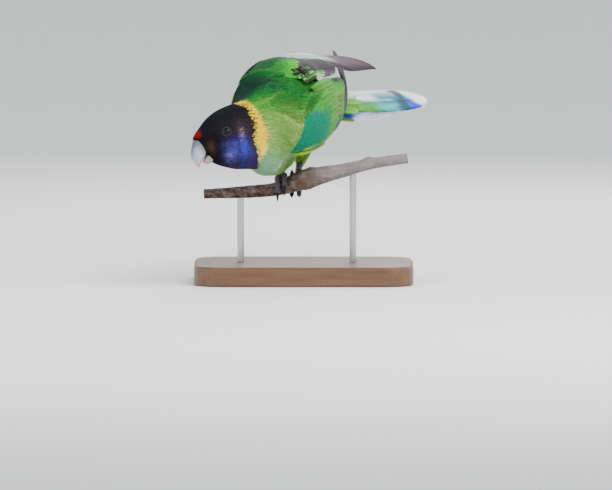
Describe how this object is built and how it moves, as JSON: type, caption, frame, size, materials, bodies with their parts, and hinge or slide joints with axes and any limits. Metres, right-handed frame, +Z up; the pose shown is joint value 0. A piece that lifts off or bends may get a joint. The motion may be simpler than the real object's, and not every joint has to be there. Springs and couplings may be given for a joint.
{
  "type": "australian ringneck parrot, still life-size model",
  "caption": "Life-size still model of a parrot leaning forward over a short cut branch, held by a flat base and two rods.",
  "frame": {"origin": "middle of the stand base's flat underside", "axes": "+Z up, -Y towards the side that the picture shows, +X towards the picture's right"},
  "size_m": [0.1745, 0.3549, 0.168],
  "materials": {
    "head_plumage": "soft, near-black navy and brown feathers with violet-blue cheeks, a red frontal band and a yellow collar",
    "body_plumage": "soft green feathers, dark teal over the nape and paler below",
    "wing_plumage": "soft green feathers with turquoise and yellow-green coverts and dark brown primaries",
    "tail_plumage": "smooth vanes, green at the root, turquoise and blue to pale tips",
    "leg": "dull grey scales",
    "bill": "pale grey horn, slightly shiny",
    "eye": "polished near-black",
    "claw": "dark horn",
    "bark": "rough grey-brown bark with pale cut ends",
    "stand_wood": "plain dark satin wood",
    "stand_steel": "plain brushed rod"
  },
  "bodies": {
    "root": {"head": "head_plumage", "neck": "body_plumage", "torso": "body_plumage", "thigh_left": "body_plumage", "thigh_right": "body_plumage", "wing_left": "wing_plumage", "wing_right": "wing_plumage", "tail": "tail_plumage", "leg_left": "leg", "leg_right": "leg", "bill_upper": "bill", "bill_lower": "bill", "eye_left": "eye", "eye_right": "eye", "claw_left_1": "claw", "claw_left_2": "claw", "claw_left_3": "claw", "claw_left_4": "claw", "claw_right_1": "claw", "claw_right_2": "claw", "claw_right_3": "claw", "claw_right_4": "claw", "perch": "bark", "stand_base": "stand_wood", "stand_rod_left": "stand_steel", "stand_rod_right": "stand_steel"}
  },
  "joints": []
}
